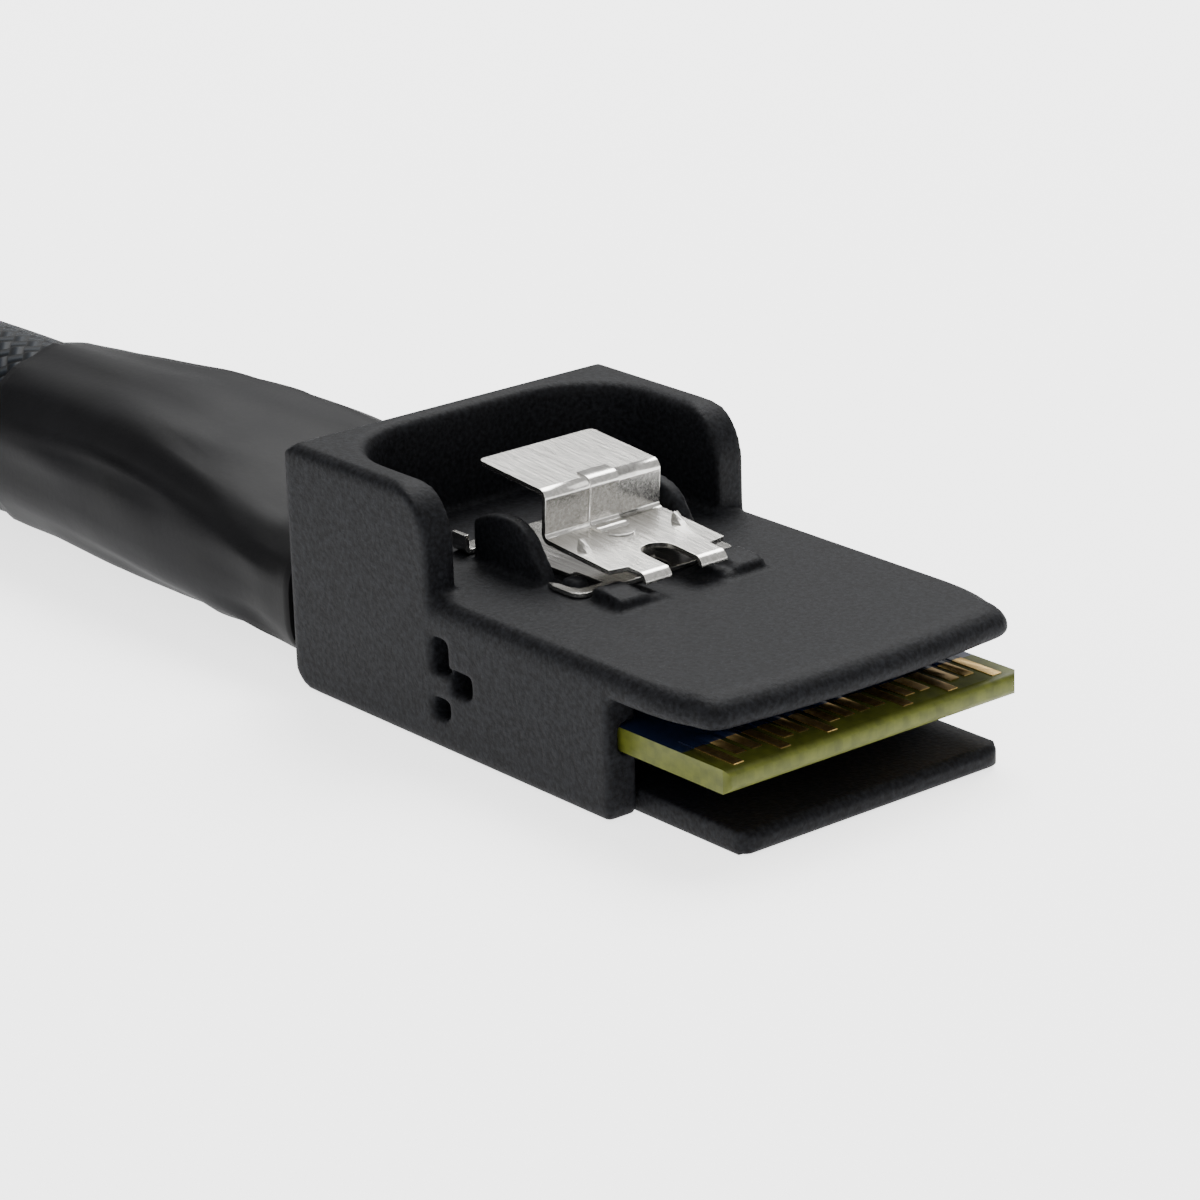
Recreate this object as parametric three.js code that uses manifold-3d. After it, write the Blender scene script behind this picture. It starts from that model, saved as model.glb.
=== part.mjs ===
// Internal 36-position serial cable: two identical latching plugs joined by one sleeved cable.
// Units are millimetres and +Z is up. The near plug lies on the surface, its mating edge towards +X,
// with the origin under the middle of the plug.
import * as THREE from 'three';
import { mergeVertices } from 'three/addons/utils/BufferGeometryUtils.js';
import Module from 'manifold-3d';

const wasm = await Module();
wasm.setup();

// Clearances
const seatGap = 0.3;
const shellGap = 0.15;
const runningGap = 0.25;
const cutOver = 1;

// Paddle card: the contact pads set its width, and the card sets the plug's
const padCount = 18;
const padPitch = 0.8;
const padMargin = 0.9;
const padWidth = 0.5;
const padFront = 0.35;
const padSetback = 0.75;
const padRear = 3.6;
const padRise = 0.04;
const groundPads = [0, 3, 6, 11, 14, 17];
const cardWidth = padPitch * (padCount - 1) + 2 * padMargin;
const cardLength = 19;
const cardThickness = 1;
const cardLevel = 2.85;
const cardBevel = 0.25;
const cardCorner = 0.25;

// Plug housing. Depths run backwards from the card's leading edge.
const cardCover = 0.8;
const plugWidth = cardWidth + 2 * cardCover;
const plugLength = 27.4;
const bodyHeight = 6.45;
const hoodHeight = 10.9;
const hoodLength = 9.95;
const wallSide = 1.5;
const wallRear = 1.7;
const wallRoof = 1.25;
const jawDepth = 6.2;
const slotReach = 1.5;
const noseX = plugLength / 2;

// Upper jaw: a bowed front edge, sides that draw in, and a full nose
const jawBow = 0.4;
const jawDraw = 0.45;
const jawStraight = 4.8;
const jawCorner = 1.1;
const noseRound = 1.2;
const noseRise = 0.85;
const lipRound = 0.3;

// Edges and corners of the housing
const edgeRound = 0.6;
const rimRound = 0.5;
const heelRound = 1.8;
const wingRound = 2.3;
const wellCorner = 3.8;
const backCorner = 0.6;
const footRound = 0.4;

// Lower shell
const floorThickness = 1;
const lowerCorner = 0.7;
const leadInLength = 0.35;
const leadInDrop = 0.25;
const jawFoot = 0.35;
const snapWall = 0.65;
const snapHeight = 1.2;
const snapLength = 4.6;

// Snap windows in the side walls, one stepped slot a side round a tongue
const windowDepth = 17.4;
const windowWidth = 1.1;
const windowLow = 1.45;
const windowHigh = 4.9;
const tongueLow = 2.3;
const tongueHigh = 3.4;
const tongueLength = 1.25;
const tongueSlot = 1.4;

// Latch: a pressed lever over a leaf that is hooked round two posts
const strip = 0.22;
const leverWidth = 6.1;
const pivotDepth = 11.5;
const pivotLevel = 7.1;
const leverTilt = 4.7;
const leverLift = 0.2;
const flatLength = 5.1;
const riserHeight = 2.05;
const tabLength = 4.5;
const bendRadius = 0.42;
const fingerInner = 0.8;
const fingerOuter = 2.15;
const fingerReach = 1;
const curlDrop = 0.42;
const throatLength = 1.2;
const barbPlace = 3.1;
const barbSpread = 2.5;
const barbRise = 0.4;
const beadWidth = 1.5;
const beadRise = 0.12;
const dimplePlace = 3.7;
const dimpleRadius = 0.75;

const leafStrip = 0.2;
const leafWidth = 5.7;
const leafRear = 21.4;
const leafFront = 12.95;
const leafLift = 0.04;
const earHeight = 0.85;
const earReach = 4.15;
const earLength = 0.9;
const tongueWidth = 1.6;
const tongueRise = 0.2;
const hookBand = 0.35;

// Features on top of the upper shell
const ribThickness = 0.7;
const ribOuter = 4.2;
const ribHeight = 2.35;
const ribBack = 1.75;
const ribRear = 19.9;
const ribFront = 15.1;
const blockFront = 10.75;
const blockRear = 12.7;
const blockInner = 1.6;
const blockOuter = 3.85;
const blockHeight = 0.62;
const blockSlope = 0.28;
const pocketFloor = 0.3;
const postHeight = 0.42;
const postLength = 1.15;
const postWidth = 0.85;
const postDepth = 14.85;

// Wires, moulded block and the cable
const pairHeight = 0.9;
const bandWidth = 2.5;
const bandHeight = 0.6;
const wireGap = 0.35;
const wireLift = 0.15;
const wireFront = 13.6;
const blockToCard = 0.5;
const meltHeight = 3.6;
const exitWidth = 12.4;
const exitHeight = 4.2;
const exitLevel = 3.1;

const cableDiameter = 8.6;
const sleeveWidth = 15.6;
const sleeveHeight = 6.9;
const sleeveEnd = 9.2;
const sleeveSquare = 3.4;
const coilRadius = 44;
const coilLift = 0.8;
const coilCentre = new THREE.Vector2(-70.3, -52);
const farExitAngle = 241;
const farSleeveAngle = 38;
const upperStart = 45;
const tieAngle = 150;
const tieWidth = 6;
const tieThickness = 0.5;

const mats = {
  shell: new THREE.MeshStandardMaterial({ color: 0x2b2c2f, roughness: 0.75, metalness: 0 }),
  steel: new THREE.MeshStandardMaterial({ color: 0xcfcdc8, roughness: 0.28, metalness: 1 }),
  card: new THREE.MeshStandardMaterial({ color: 0x9aa055, roughness: 0.5, metalness: 0 }),
  melt: new THREE.MeshStandardMaterial({ color: 0xd9cfae, roughness: 0.5, metalness: 0 }),
  wire: new THREE.MeshStandardMaterial({ color: 0xb9bcc4, roughness: 0.45, metalness: 0 }),
  sleeve: new THREE.MeshStandardMaterial({ color: 0x2c2d31, roughness: 0.6, metalness: 0 }),
  braid: new THREE.MeshStandardMaterial({ color: 0x1d2229, roughness: 0.8, metalness: 0 }),
  tie: new THREE.MeshStandardMaterial({ color: 0x222222, roughness: 0.7, metalness: 0 }),
};

const rad = THREE.MathUtils.degToRad;
const bodyTop = bodyHeight;
const mouthTop = bodyHeight - wallRoof;
const innerHalf = plugWidth / 2 - wallSide;
const lowerHalf = innerHalf - shellGap;
const wireHalf = lowerHalf - snapWall - runningGap;
const rearX = noseX - plugLength;
const wingX = rearX + hoodLength;
const depthX = (depth) => noseX - depth;

// A closed geometry as a solid that can be cut and joined
function solid(geometry) {
  const g = geometry.index ? geometry.clone() : geometry.clone();
  g.deleteAttribute('normal');
  g.deleteAttribute('uv');
  const merged = mergeVertices(g, 1e-5);
  return new wasm.Manifold(new wasm.Mesh({
    numProp: 3,
    vertProperties: new Float32Array(merged.attributes.position.array),
    triVerts: new Uint32Array(merged.index.array),
  }));
}

function geometryOf(body) {
  const m = body.getMesh();
  const g = new THREE.BufferGeometry();
  g.setAttribute('position', new THREE.BufferAttribute(new Float32Array(m.vertProperties), 3));
  g.setIndex(new THREE.BufferAttribute(new Uint32Array(m.triVerts), 1));
  return g;
}

function extruded(shape, depth, basis, shift, curveSegments = 5) {
  const g = new THREE.ExtrudeGeometry(shape, { depth, bevelEnabled: false, curveSegments });
  g.applyMatrix4(basis);
  g.translate(...shift);
  return solid(g);
}

const toY = new THREE.Matrix4().makeBasis(
  new THREE.Vector3(1, 0, 0), new THREE.Vector3(0, 0, 1), new THREE.Vector3(0, -1, 0));
const toX = new THREE.Matrix4().makeBasis(
  new THREE.Vector3(0, 1, 0), new THREE.Vector3(0, 0, 1), new THREE.Vector3(1, 0, 0));
const toZ = new THREE.Matrix4();

// Prisms: a plan outline along Z, a side outline along Y, a cross-section along X
const alongZ = (shape, low, high, segments) => extruded(shape, high - low, toZ, [0, 0, low], segments);
const alongY = (shape, low, high, segments) => extruded(shape, high - low, toY, [0, high, 0], segments);
const alongX = (shape, low, high, segments) => extruded(shape, high - low, toX, [low, 0, 0], segments);

// A rectangle with a radius at each corner, in order from the low corner, anticlockwise
function rounded(x0, y0, x1, y1, radii) {
  const [a, b, c, d] = radii;
  const s = new THREE.Shape();
  s.moveTo(x0 + a, y0);
  s.lineTo(x1 - b, y0);
  if (b) s.absarc(x1 - b, y0 + b, b, -Math.PI / 2, 0, false);
  s.lineTo(x1, y1 - c);
  if (c) s.absarc(x1 - c, y1 - c, c, 0, Math.PI / 2, false);
  s.lineTo(x0 + d, y1);
  if (d) s.absarc(x0 + d, y1 - d, d, Math.PI / 2, Math.PI, false);
  s.lineTo(x0, y0 + a);
  if (a) s.absarc(x0 + a, y0 + a, a, Math.PI, Math.PI * 1.5, false);
  return s;
}

function box(x0, x1, y0, y1, z0, z1) {
  const g = new THREE.BoxGeometry(x1 - x0, y1 - y0, z1 - z0);
  g.translate((x0 + x1) / 2, (y0 + y1) / 2, (z0 + z1) / 2);
  return solid(g);
}

const mirrored = (make) => make(1).add(make(-1));
const spanY = (side, inner, outer) => (side > 0 ? [inner, outer] : [-outer, -inner]);

// A convex solid through plan outlines at rising levels, each with as many points
function stacked(levels, outlineAt) {
  const rings = levels.map((level) => outlineAt(level).getPoints(5).slice(0, -1)
    .map((p) => new THREE.Vector3(p.x, p.y, level.z)));
  return ringsToGeometry(rings);
}

function ringsToGeometry(rings) {
  const count = rings[0].length;
  const last = rings.length - 1;
  const middles = [rings[0], rings[last]].map((ring) => ring
    .reduce((sum, v) => sum.add(v), new THREE.Vector3()).divideScalar(count));
  const position = [...rings.flat(), ...middles].flatMap((v) => [v.x, v.y, v.z]);
  const index = [];
  for (let k = 0; k < count; k++) {
    const n = (k + 1) % count;
    for (let i = 0; i < last; i++) {
      const a = i * count;
      index.push(a + k, a + n, a + count + k, a + n, a + count + n, a + count + k);
    }
    index.push(rings.length * count, n, k);
    index.push(rings.length * count + 1, last * count + k, last * count + n);
  }
  const g = new THREE.BufferGeometry();
  g.setAttribute('position', new THREE.Float32BufferAttribute(position, 3));
  g.setIndex(index);
  return g;
}

// How far a rounded top edge has drawn in at each level: at the nose and along the sides
const roundLevels = [0, 0.3, 0.55, 0.75, 0.9, 0.98, 1].map((t) => ({
  z: bodyTop - noseRise * (1 - t),
  front: noseRound * (1 - Math.sqrt(1 - t * t)),
  side: edgeRound * (1 - Math.sqrt(1 - t * t)),
}));
const lipLevels = [0, 0.35, 1].map((t) => ({
  z: mouthTop + lipRound * t,
  front: lipRound * (1 - Math.sqrt(t * (2 - t))),
  side: lipRound * (1 - Math.sqrt(t * (2 - t))),
}));

// Plan of the upper jaw at one level
function jawPlan({ front, side }) {
  const half = plugWidth / 2 - side;
  const x = noseX - front - jawBow;
  const y = half - jawDraw;
  const s = new THREE.Shape();
  s.moveTo(depthX(jawDepth + 1), -half);
  s.lineTo(depthX(jawStraight), -half);
  s.quadraticCurveTo(x - jawCorner - 1, -half, x - jawCorner, -y);
  s.quadraticCurveTo(x, -y, x, -y + jawCorner);
  s.quadraticCurveTo(x + 2 * jawBow, 0, x, y - jawCorner);
  s.quadraticCurveTo(x, y, x - jawCorner, y);
  s.quadraticCurveTo(x - jawCorner - 1, half, depthX(jawStraight), half);
  s.lineTo(depthX(jawDepth + 1), half);
  s.closePath();
  return s;
}

function upperJaw() {
  return solid(stacked([...lipLevels, ...roundLevels], jawPlan));
}

// Body behind the jaw: long top edges rounded like the jaw's, heel and feet rounded
function upperBody() {
  const half = plugWidth / 2;
  const section = new THREE.Shape();
  section.moveTo(-half + footRound, 0);
  section.lineTo(half - footRound, 0);
  section.absarc(half - footRound, footRound, footRound, -Math.PI / 2, 0, false);
  roundLevels.forEach(({ z, side }) => section.lineTo(half - side, z));
  [...roundLevels].reverse().forEach(({ z, side }) => section.lineTo(-half + side, z));
  section.lineTo(-half, footRound);
  section.absarc(-half + footRound, footRound, footRound, Math.PI, Math.PI * 1.5, false);
  const side = rounded(rearX, 0, depthX(jawDepth), bodyTop, [heelRound, footRound, 0, 0]);
  return alongX(section, rearX, depthX(jawDepth), 3).intersect(alongY(side, -half, half));
}

// The collar behind the latch: a rear wall and two wings with rounded front corners, its rim rounded
function hood() {
  const half = plugWidth / 2;
  const side = rounded(rearX, heelRound, wingX, hoodHeight, [0, 0, wingRound, edgeRound]);
  const section = rounded(-half, heelRound, half, hoodHeight, [0, 0, rimRound, rimRound]);
  return alongY(side, -half, half, 6).intersect(alongX(section, rearX, wingX, 4));
}

function hoodWell() {
  const rim = [0, 0.5, 0.8, 1].map((t) => ({
    z: hoodHeight - rimRound * (1 - t),
    flare: rimRound * (1 - Math.sqrt(1 - t * t)),
  }));
  const levels = [{ z: bodyTop, flare: 0 }, ...rim, { z: hoodHeight + cutOver, flare: rimRound }];
  return solid(stacked(levels, ({ flare }) => rounded(rearX + wallRear - flare, -innerHalf - flare,
    wingX + cutOver, innerHalf + flare, [wellCorner + flare, 0, 0, wellCorner + flare])));
}

function backPlan() {
  return alongZ(rounded(rearX, -plugWidth / 2, noseX, plugWidth / 2, [backCorner, 0, 0, backCorner]),
    -cutOver, hoodHeight + cutOver, 4);
}

// A stepped slot through the side wall that leaves a tongue pointing forwards
function snapWindow(side) {
  const [y0, y1] = spanY(side, innerHalf - cutOver, plugWidth / 2 + cutOver);
  const back = depthX(windowDepth);
  const upper = box(back, back + windowWidth, y0, y1, tongueHigh, windowHigh);
  const front = box(back + tongueLength, back + tongueLength + tongueSlot, y0, y1,
    tongueLow + 0.45, tongueHigh + 0.35);
  const lower = box(back, back + windowWidth, y0, y1, windowLow, tongueLow);
  const joinTop = box(back, back + tongueLength + tongueSlot / 2, y0, y1, tongueHigh, tongueHigh + 0.35);
  return upper.add(front).add(lower).add(joinTop);
}

// Guard walls beside the latch: arched on top, with a slanted front edge
function guardRib(side) {
  const [y0, y1] = spanY(side, ribOuter - ribThickness, ribOuter);
  const peak = bodyTop + ribHeight;
  const s = new THREE.Shape();
  s.moveTo(depthX(ribRear), bodyTop - cutOver / 2);
  s.lineTo(depthX(ribFront), bodyTop - cutOver / 2);
  s.lineTo(depthX(ribFront + 0.1), bodyTop + 0.3);
  s.lineTo(depthX(ribFront + 0.75), bodyTop + 1.2);
  s.quadraticCurveTo(depthX(ribFront + 1.3), peak, depthX(ribFront + 2.7), peak);
  s.quadraticCurveTo(depthX(ribRear - 0.9), peak, depthX(ribRear), bodyTop + ribBack);
  return alongY(s, y0, y1, 4);
}

// Low blocks whose pockets hold the lever's fingers, sloping down in front
function pivotBlock(side) {
  const [y0, y1] = spanY(side, blockInner, blockOuter);
  const [p0, p1] = spanY(side, blockInner - cutOver, fingerOuter + runningGap);
  const top = bodyTop + blockHeight;
  const s = new THREE.Shape();
  s.moveTo(depthX(blockRear), bodyTop - cutOver / 2);
  s.lineTo(depthX(blockFront), bodyTop - cutOver / 2);
  s.lineTo(depthX(blockFront), top - blockSlope);
  s.quadraticCurveTo(depthX(blockFront), top - blockSlope / 2, depthX(blockFront + 0.4), top - blockSlope / 2);
  s.lineTo(depthX(blockRear - 0.6), top);
  s.quadraticCurveTo(depthX(blockRear), top, depthX(blockRear), top - 0.2);
  const pocket = box(depthX(blockRear) - cutOver, depthX(blockFront) + cutOver, p0, p1,
    bodyTop + pocketFloor, top + cutOver);
  return alongY(s, y0, y1, 3).subtract(pocket);
}

const postY = leafWidth / 2 + 0.05;

function leafPost(side) {
  const [y0, y1] = spanY(side, postY, postY + postWidth);
  const x = depthX(postDepth);
  const r = postWidth * 0.45;
  return alongZ(rounded(x, y0, x + postLength, y1, [r, r, r, r]),
    bodyTop - cutOver / 2, bodyTop + postHeight, 3);
}

function cardSlot() {
  const half = cardWidth / 2 + shellGap;
  return box(depthX(jawDepth + slotReach), noseX + cutOver, -half, half,
    cardLevel - shellGap, cardLevel + cardThickness + shellGap);
}

function rearOpening() {
  const h = exitHeight / 2 + seatGap;
  const w = exitWidth / 2 + seatGap;
  const r = h * 0.7;
  return alongX(rounded(-w, exitLevel - h, w, exitLevel + h, [r, r, r, r]),
    rearX - cutOver, rearX + wallRear + cutOver, 4);
}

function upperShell() {
  const cavity = box(rearX + wallRear, noseX + cutOver, -innerHalf, innerHalf, -cutOver, mouthTop);
  return upperBody().add(upperJaw()).add(hood().subtract(hoodWell()))
    .intersect(backPlan())
    .subtract(cavity)
    .subtract(mirrored(snapWindow))
    .subtract(cardSlot())
    .subtract(rearOpening())
    .add(mirrored(guardRib))
    .add(mirrored(pivotBlock))
    .add(mirrored(leafPost));
}

// Floor plate with the lower jaw, lead-in edge, card rests and snap tabs
function lowerShell() {
  const half = lowerHalf;
  const rear = rearX + wallRear + shellGap;
  const s = new THREE.Shape();
  s.moveTo(rear, 0);
  s.lineTo(noseX - jawFoot, 0);
  s.absarc(noseX - jawFoot, jawFoot, jawFoot, -Math.PI / 2, 0, false);
  s.lineTo(noseX, floorThickness - leadInDrop);
  s.lineTo(noseX - leadInLength, floorThickness);
  s.lineTo(rear, floorThickness);
  const plan = rounded(rear, -half, noseX, half, [0.4, lowerCorner, lowerCorner, 0.4]);
  const plate = alongY(s, -half, half).intersect(alongZ(plan, -cutOver, floorThickness + cutOver));
  const restTop = cardLevel - shellGap;
  const rest = (side) => {
    const [y0, y1] = spanY(side, half - snapWall + 0.05, half);
    return box(depthX(cardLength - 1), depthX(jawDepth + slotReach + 0.5), y0, y1, floorThickness / 2, restTop);
  };
  const tab = (side) => {
    const [y0, y1] = spanY(side, half - snapWall, half);
    const x = depthX(windowDepth) + windowWidth / 2;
    const [n0, n1] = spanY(side, half - snapWall / 2, innerHalf + wallSide / 2);
    const wall = box(x - snapLength / 2, x + snapLength / 2, y0, y1, floorThickness / 2,
      floorThickness + snapHeight);
    const nub = box(x - windowWidth / 2 + shellGap, x + windowWidth / 2 - shellGap, n0, n1,
      windowLow + shellGap, tongueLow - shellGap);
    return wall.add(nub);
  };
  return plate.add(mirrored(rest)).add(mirrored(tab));
}

// Card with a bevelled leading edge and a row of contact pads on each face
function paddleCard() {
  const top = cardLevel + cardThickness;
  const rear = depthX(cardLength);
  const s = new THREE.Shape();
  s.moveTo(rear, cardLevel);
  s.lineTo(noseX - cardBevel, cardLevel);
  s.lineTo(noseX, cardLevel + cardBevel);
  s.lineTo(noseX, top - cardBevel);
  s.lineTo(noseX - cardBevel, top);
  s.lineTo(rear, top);
  const half = cardWidth / 2;
  const plan = new THREE.Shape();
  const neck = depthX(jawDepth + slotReach - shellGap);
  const tail = lowerHalf - shellGap;
  plan.moveTo(rear, -tail);
  plan.lineTo(neck, -tail);
  plan.lineTo(neck, -half);
  plan.lineTo(noseX - cardCorner, -half);
  plan.lineTo(noseX, -half + cardCorner);
  plan.lineTo(noseX, half - cardCorner);
  plan.lineTo(noseX - cardCorner, half);
  plan.lineTo(neck, half);
  plan.lineTo(neck, tail);
  plan.lineTo(rear, tail);
  let card = alongY(s, -half, half).intersect(alongZ(plan, 0, top + cutOver));
  for (let i = 0; i < padCount; i++) {
    const y = (i - (padCount - 1) / 2) * padPitch;
    const front = groundPads.includes(i) ? padFront : padFront + padSetback;
    card = card.add(box(depthX(padRear), depthX(front), y - padWidth / 2, y + padWidth / 2,
      cardLevel - padRise, cardLevel + 0.2));
    card = card.add(box(depthX(padRear), depthX(front), y - padWidth / 2, y + padWidth / 2,
      top - 0.2, top + padRise));
  }
  return card;
}

// Lever in its own frame: pivot at the origin, tab towards -X. A centre line of straight runs and
// bends, with the sheet's thickness below it
function leverProfile() {
  const top = leverLift + strip;
  const r = bendRadius;
  const inner = r - strip;
  const riser = -flatLength;
  const tabTop = top + riserHeight;
  const tabEnd = riser - tabLength;
  const tip = 0.3;
  const s = new THREE.Shape();
  s.moveTo(tabEnd, tabTop - strip);
  s.lineTo(riser - r, tabTop - strip);
  s.absarc(riser - r, tabTop - r, inner, Math.PI / 2, 0, true);
  s.lineTo(riser - strip, top + inner);
  s.absarc(riser + inner, top + inner, r, Math.PI, Math.PI * 1.5, false);
  s.lineTo(tip - r, top - strip);
  s.absarc(tip - r, top - r, inner, Math.PI / 2, 0, true);
  s.lineTo(tip - strip, top - curlDrop);
  s.lineTo(tip, top - curlDrop);
  s.lineTo(tip, top - r);
  s.absarc(tip - r, top - r, r, 0, Math.PI / 2, false);
  s.lineTo(riser + inner, top);
  s.absarc(riser + inner, top + inner, inner, Math.PI * 1.5, Math.PI, true);
  s.lineTo(riser, tabTop - r);
  s.absarc(riser - r, tabTop - r, r, 0, Math.PI / 2, false);
  s.lineTo(tabEnd, tabTop);
  s.closePath();
  return s;
}

// Plan outline of the lever: square tab, shoulders, two fingers either side of a round-ended throat
function leverPlan() {
  const w = leverWidth / 2;
  const rear = -flatLength - tabLength;
  const shoulder = -fingerReach;
  const tip = 0.4;
  const s = new THREE.Shape();
  s.moveTo(rear + 0.3, -w);
  s.lineTo(shoulder, -w);
  s.lineTo(shoulder + 0.15, -fingerOuter);
  s.lineTo(tip, -fingerOuter);
  s.lineTo(tip, -fingerInner);
  s.lineTo(shoulder - throatLength + fingerInner, -fingerInner);
  s.absarc(shoulder - throatLength + fingerInner, 0, fingerInner, -Math.PI / 2, Math.PI / 2, true);
  s.lineTo(tip, fingerInner);
  s.lineTo(tip, fingerOuter);
  s.lineTo(shoulder + 0.15, fingerOuter);
  s.lineTo(shoulder, w);
  s.lineTo(rear + 0.3, w);
  s.absarc(rear + 0.3, w - 0.3, 0.3, Math.PI / 2, Math.PI, false);
  s.absarc(rear + 0.3, -w + 0.3, 0.3, Math.PI, Math.PI * 1.5, false);
  return s;
}

function latchLever() {
  const w = leverWidth / 2;
  const top = leverLift + strip;
  const sheet = alongY(leverProfile(), -w, w, 4)
    .intersect(alongZ(leverPlan(), -2, top + riserHeight + cutOver, 6));
  const barb = (side) => {
    const s = new THREE.Shape();
    s.moveTo(-barbPlace - 0.45, top - strip / 2);
    s.lineTo(-barbPlace + 0.45, top - strip / 2);
    s.lineTo(-barbPlace - 0.35, top + barbRise);
    const [y0, y1] = spanY(side, barbSpread - 0.15, barbSpread + 0.15);
    return alongY(s, y0, y1);
  };
  // The bead is the same sheet pressed forwards over the riser and both of its bends
  const pressed = extruded(leverProfile(), beadWidth, toY, [beadRise, beadWidth / 2, beadRise * 0.6], 4);
  const bead = pressed.intersect(box(-flatLength - 2 * bendRadius, -flatLength + 2 * bendRadius,
    -beadWidth, beadWidth, top - strip / 2, top + riserHeight + beadRise));
  const arc = new THREE.Shape();
  arc.absarc(0, 0, dimpleRadius, -Math.PI * 0.4, Math.PI * 0.4, false);
  arc.absarc(-0.2, 0, dimpleRadius * 0.7, Math.PI * 0.4, -Math.PI * 0.4, true);
  const dimple = extruded(arc, strip + 0.08, toZ, [-dimplePlace - dimpleRadius / 2, 0, top - strip], 4);
  return sheet.add(mirrored(barb)).add(bead).add(dimple);
}

// Leaf under the lever: hooks round the posts in front, upturned ears behind, a rising tongue
function latchLeaf() {
  const z = bodyTop + leafLift;
  const top = z + leafStrip;
  const w = leafWidth / 2;
  const waist = w - 0.35;
  const front = depthX(leafFront);
  const rear = depthX(leafRear);
  const postFront = depthX(postDepth) + postLength;
  const hook = (side) => {
    const inner = postY + postWidth + 0.15;
    const outer = inner + hookBand;
    const s = new THREE.Shape();
    s.moveTo(front, side * (waist - 0.2));
    s.lineTo(front, side * (outer - 0.75));
    s.quadraticCurveTo(front, side * outer, front - 0.75, side * outer);
    s.lineTo(depthX(postDepth) + 0.2, side * outer);
    s.lineTo(depthX(postDepth) - 0.25, side * (outer - 0.15));
    s.lineTo(depthX(postDepth) + 0.2, side * inner);
    s.quadraticCurveTo(postFront + 0.15, side * inner, postFront + 0.15, side * (inner - 0.5));
    s.lineTo(postFront + 0.15, side * (waist - 0.2));
    s.closePath();
    return alongZ(s, z, top, 4);
  };
  const ear = (side) => {
    const r = 0.3;
    const s = new THREE.Shape();
    s.moveTo(side * (w - 0.3), z);
    s.lineTo(side * (earReach - r), z);
    s.quadraticCurveTo(side * earReach, z, side * earReach, z + r);
    s.lineTo(side * earReach, z + earHeight);
    s.lineTo(side * (earReach - leafStrip), z + earHeight);
    s.lineTo(side * (earReach - leafStrip), z + r);
    s.quadraticCurveTo(side * (earReach - leafStrip), top, side * (earReach - r), top);
    s.lineTo(side * (w - 0.3), top);
    s.closePath();
    return alongX(s, rear, rear + earLength, 4);
  };
  const plate = box(rear, depthX(postDepth) - 0.45, -w, w, z, top)
    .add(box(rear, front, -waist, waist, z, top));
  const slot = box(depthX(17.6), depthX(leafFront + 0.6), -tongueWidth / 2 - 0.2, tongueWidth / 2 + 0.2,
    z - cutOver, z + cutOver);
  const s = new THREE.Shape();
  const root = depthX(17.8);
  const tip = depthX(14.2);
  s.moveTo(root, z);
  s.lineTo(tip, z + tongueRise);
  s.lineTo(tip, top + tongueRise);
  s.lineTo(root, top);
  return plate.add(mirrored(hook)).add(mirrored(ear))
    .subtract(slot)
    .add(alongY(s, -tongueWidth / 2, tongueWidth / 2));
}

const meltFront = depthX(cardLength) - blockToCard;

// Moulded block round the wires, with a neck through the rear opening
function meltBlock() {
  const rear = rearX + wallRear + seatGap;
  const half = wireHalf + seatGap;
  const r = 0.6;
  const low = exitLevel - meltHeight / 2;
  const h = exitHeight / 2;
  const q = h * 0.7;
  const neck = rounded(-exitWidth / 2, exitLevel - h, exitWidth / 2, exitLevel + h, [q, q, q, q]);
  return alongX(rounded(-half, low, half, low + meltHeight, [r, r, r, r]), rear, meltFront, 2)
    .add(alongX(neck, rearX, rear + cutOver, 4));
}

function wireRun(width, height, y, z) {
  const front = depthX(wireFront);
  const rear = meltFront + shellGap;
  const r = height * 0.48;
  return alongX(rounded(y - width / 2, z - height / 2, y + width / 2, z + height / 2, [r, r, r, r]),
    rear, front, 3);
}

function meshOf(name, body, material) {
  const m = new THREE.Mesh(geometryOf(body), material);
  m.name = name;
  return m;
}

// One plug with its wires; the lever hangs in a group of its own at the pivot
function plug(prefix) {
  const g = new THREE.Group();
  const add = (name, body, material) => g.add(meshOf(prefix + name, body, material));
  add('upper_shell', upperShell(), mats.shell);
  add('lower_shell', lowerShell(), mats.shell);
  add('paddle_card', paddleCard(), mats.card);
  add('latch_leaf', latchLeaf(), mats.steel);
  add('melt_block', meltBlock(), mats.melt);
  const pivot = new THREE.Group();
  pivot.position.set(depthX(pivotDepth), 0, pivotLevel);
  pivot.rotation.y = rad(leverTilt);
  pivot.add(meshOf(prefix + 'latch_lever', latchLever(), mats.steel));
  g.add(pivot);
  // Two pairs, the band of sideband wires, two pairs, side by side on each face of the card
  const above = cardLevel + cardThickness + wireLift;
  const below = cardLevel - wireLift;
  const pairWidth = (2 * wireHalf - bandWidth - 4 * wireGap) / 4;
  for (let i = 0; i < 4; i++) {
    const inward = bandWidth / 2 + wireGap + pairWidth / 2;
    const outward = inward + pairWidth + wireGap;
    const y = [-outward, -inward, inward, outward][i];
    add(`wire_pair_top_${i + 1}`, wireRun(pairWidth, pairHeight, y, above + pairHeight / 2), mats.wire);
    add(`wire_pair_low_${i + 1}`, wireRun(pairWidth, pairHeight, y, below - pairHeight / 2), mats.wire);
  }
  add('signal_band_top', wireRun(bandWidth, bandHeight, 0, above + bandHeight / 2), mats.wire);
  add('signal_band_low', wireRun(bandWidth, bandHeight, 0, below - bandHeight / 2), mats.wire);
  return g;
}

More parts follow.
